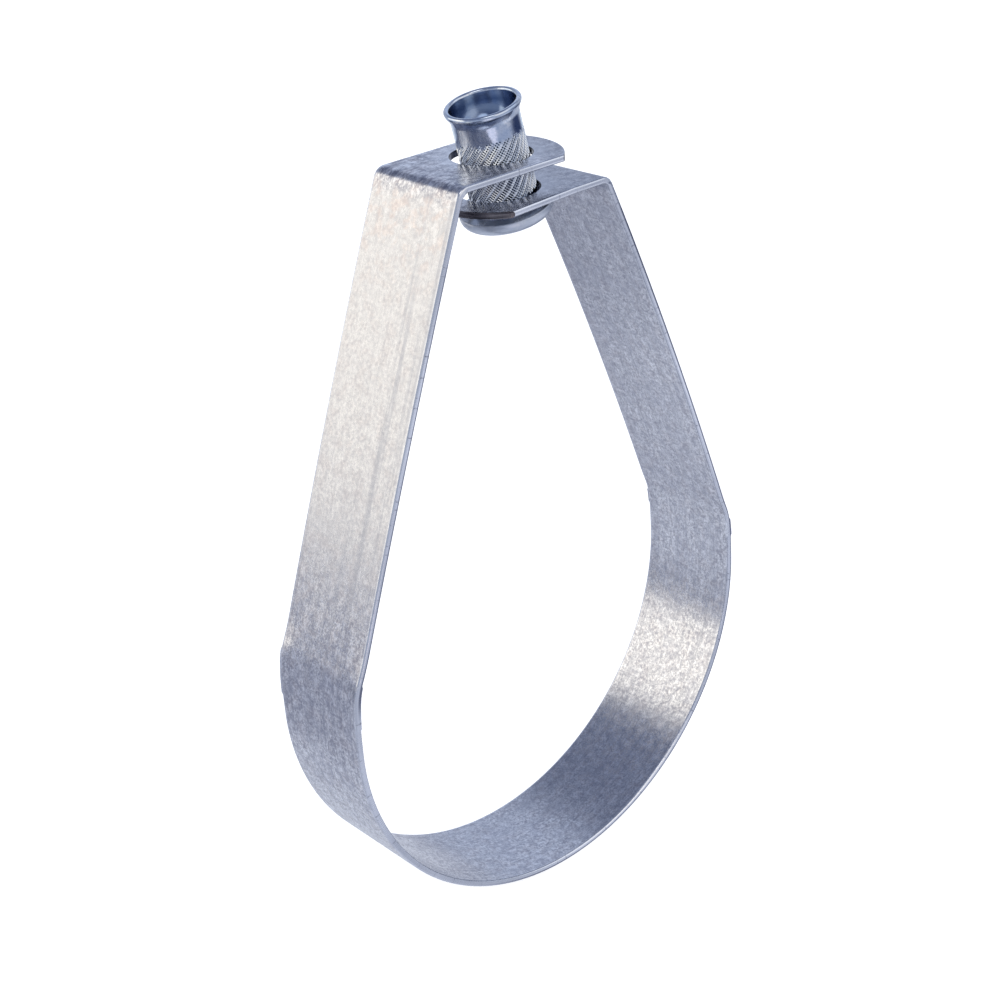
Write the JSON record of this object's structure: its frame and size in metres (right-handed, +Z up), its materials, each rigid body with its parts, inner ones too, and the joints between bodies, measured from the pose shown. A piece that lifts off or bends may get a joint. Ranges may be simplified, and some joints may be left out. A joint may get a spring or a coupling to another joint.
{
  "type": "swivel ring hanger",
  "caption": "Strap ring that hangs a pipe from a threaded rod, folded from one steel band whose overlapping ears turn on a flared, knurled swivel nut.",
  "frame": {"origin": "centre of the pipe ring, half way along the strap's width", "axes": "+Z up towards the hanger rod, +Y along the pipe, +X from the leg with the upper ear to the leg with the lower ear"},
  "size_m": [0.1204, 0.027, 0.1881],
  "materials": {
    "galvanised_strap": "satin mill-galvanised steel strip with sheared edges",
    "zinc_plated_nut": "bright blue-white zinc plating, glossy"
  },
  "bodies": {
    "nut": {"swivel_nut": "zinc_plated_nut"},
    "band": {"strap_band": "galvanised_strap"}
  },
  "joints": [
    {"name": "band_swivel", "type": "hinge", "parent": "nut", "child": "band", "pos_m": [0.0031, 0, 0.10665], "axis": [-0.2062, 0, 0.9785], "continuous": true}
  ]
}
